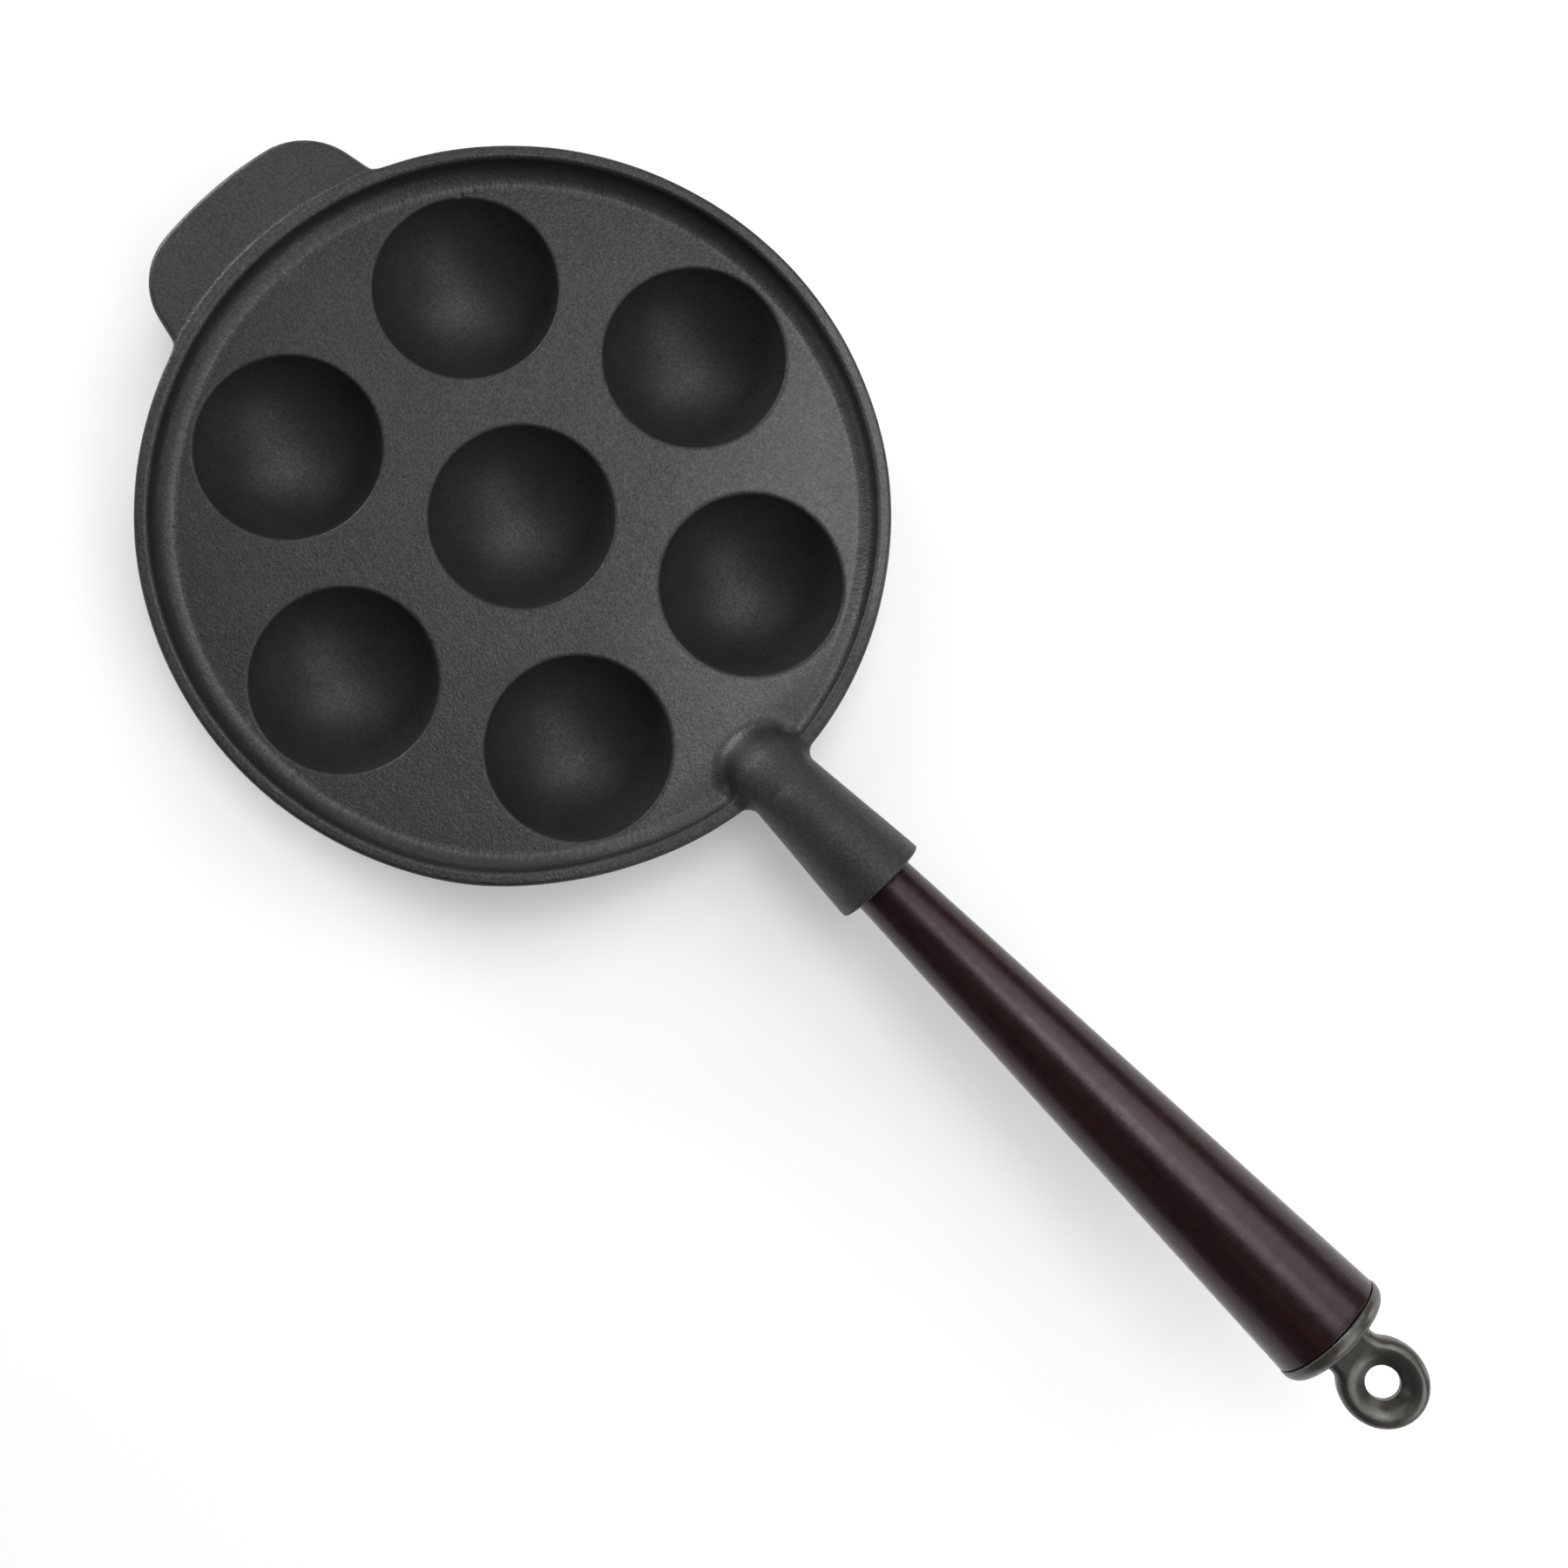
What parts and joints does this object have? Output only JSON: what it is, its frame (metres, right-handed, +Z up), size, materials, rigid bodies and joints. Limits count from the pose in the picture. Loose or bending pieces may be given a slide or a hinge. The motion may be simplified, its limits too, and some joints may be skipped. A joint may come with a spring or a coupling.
{
  "type": "aebleskiver pan",
  "caption": "Cast-iron pan for round batter cakes: low-rimmed plate with ball-shaped wells, helper tab and a turned wooden handle held by a threaded rod and hanging eye.",
  "frame": {"origin": "on the standing surface, at the middle of the centre well's ground foot", "axes": "+X out along the handle, +Z up, +Y to the left of the handle seen from above"},
  "size_m": [0.4331, 0.2, 0.0878],
  "materials": {
    "pan_iron": "seasoned, matte with a soft sheen",
    "handle_wood": "dark red-brown stain under gloss lacquer",
    "rod_steel": "plain turned steel",
    "eye_iron": "satin, blackened"
  },
  "bodies": {
    "pan": {"pan_casting": "pan_iron"},
    "handle": {"wooden_handle": "handle_wood"},
    "eye": {"hanging_eye": "eye_iron", "tie_rod": "rod_steel"}
  },
  "joints": [
    {"name": "handle_draw", "type": "slide", "parent": "pan", "child": "handle", "axis": [0.9781, 0, 0.2079], "range_m": [0, 0.0175]},
    {"name": "eye_turn", "type": "hinge", "parent": "handle", "child": "eye", "pos_m": [0.30394, 0, 0.07595], "axis": [0.9781, 0, 0.2079], "range_deg": [0, 5041]}
  ],
  "couplings": [
    {"joint": "eye_turn", "follows": "handle_draw", "rad_per_m": 5026.5}
  ]
}
